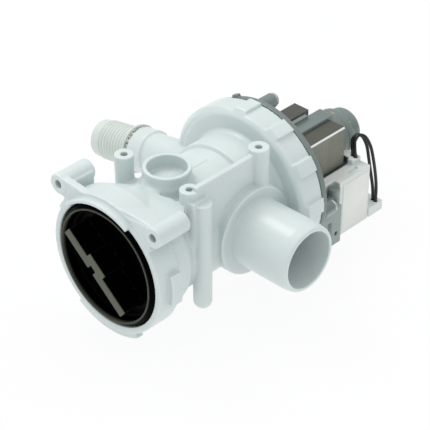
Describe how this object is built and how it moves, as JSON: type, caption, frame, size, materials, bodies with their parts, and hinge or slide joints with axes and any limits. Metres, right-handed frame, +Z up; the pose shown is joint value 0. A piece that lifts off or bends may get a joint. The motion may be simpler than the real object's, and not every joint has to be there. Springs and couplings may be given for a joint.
{
  "type": "washer drain pump",
  "caption": "Washing machine drain pump with a pull-out front filter, side inlet and outlet spigots, and a wet-rotor synchronous motor.",
  "frame": {"origin": "under the middle of the pump's box, on the plane it stands on", "axes": "+X out of the inlet spigot, +Y along the pump axis from the filter mouth to the motor, +Z up out of the top port"},
  "size_m": [0.1834, 0.1962, 0.089],
  "materials": {
    "housing_white": "moulded satin",
    "spigot_white": "moulded satin",
    "spring_steel": "dark spring steel",
    "black_rubber": "matt",
    "cap_black": "gloss",
    "basket_black": "satin",
    "motor_grey": "satin",
    "screw_steel": "zinc plated",
    "bush_bronze": "sintered",
    "magnet_ferrite": "matt",
    "inner_white": "moulded satin",
    "lamination_steel": "varnished stack",
    "copper_wire": "enamelled",
    "cover_white": "moulded satin",
    "label_cream": "bare",
    "tab_brass": "plain",
    "lead_black": "satin"
  },
  "bodies": {
    "pump_body": {"pump_housing": "housing_white", "outlet_spigot": "spigot_white", "outlet_retaining_ring": "spring_steel", "outlet_seal": "black_rubber", "motor_plate": "motor_grey", "plate_seal": "black_rubber", "plate_screws": "screw_steel", "bearing_plate": "motor_grey", "front_bush": "bush_bronze", "rear_bush": "bush_bronze", "rear_bush_holder": "black_rubber", "stator_core": "lamination_steel", "core_rivets": "screw_steel", "left_bobbin": "inner_white", "right_bobbin": "inner_white", "left_winding": "copper_wire", "right_winding": "copper_wire", "coil_cover": "cover_white", "label": "label_cream", "connector_block": "cover_white", "terminal_tabs": "tab_brass", "leads": "lead_black"},
    "rotor": {"rotor_shaft": "screw_steel", "rotor_magnet": "magnet_ferrite", "drive_dog": "inner_white", "impeller_clip": "spring_steel", "thrust_washer": "bush_bronze"},
    "impeller": {"impeller": "inner_white"},
    "filter_seal": {"cap_seal": "black_rubber"},
    "filter": {"filter_cap": "cap_black", "filter_basket": "basket_black"}
  },
  "joints": [
    {"name": "rotor_spin", "type": "hinge", "parent": "pump_body", "child": "rotor", "pos_m": [0.02074, 0.05315, 0.042], "axis": [0, 1, 0], "continuous": true},
    {"name": "impeller_play", "type": "hinge", "parent": "rotor", "child": "impeller", "pos_m": [0.02074, 0.01815, 0.042], "axis": [0, 1, 0], "range_deg": [-138, 138]},
    {"name": "filter_pull", "type": "slide", "parent": "pump_body", "child": "filter_seal", "axis": [0, -1, 0], "range_m": [0, 0.11]},
    {"name": "filter_turn", "type": "hinge", "parent": "filter_seal", "child": "filter", "pos_m": [0.02074, -0.07985, 0.042], "axis": [0, -1, 0], "range_deg": [0, 90]}
  ]
}
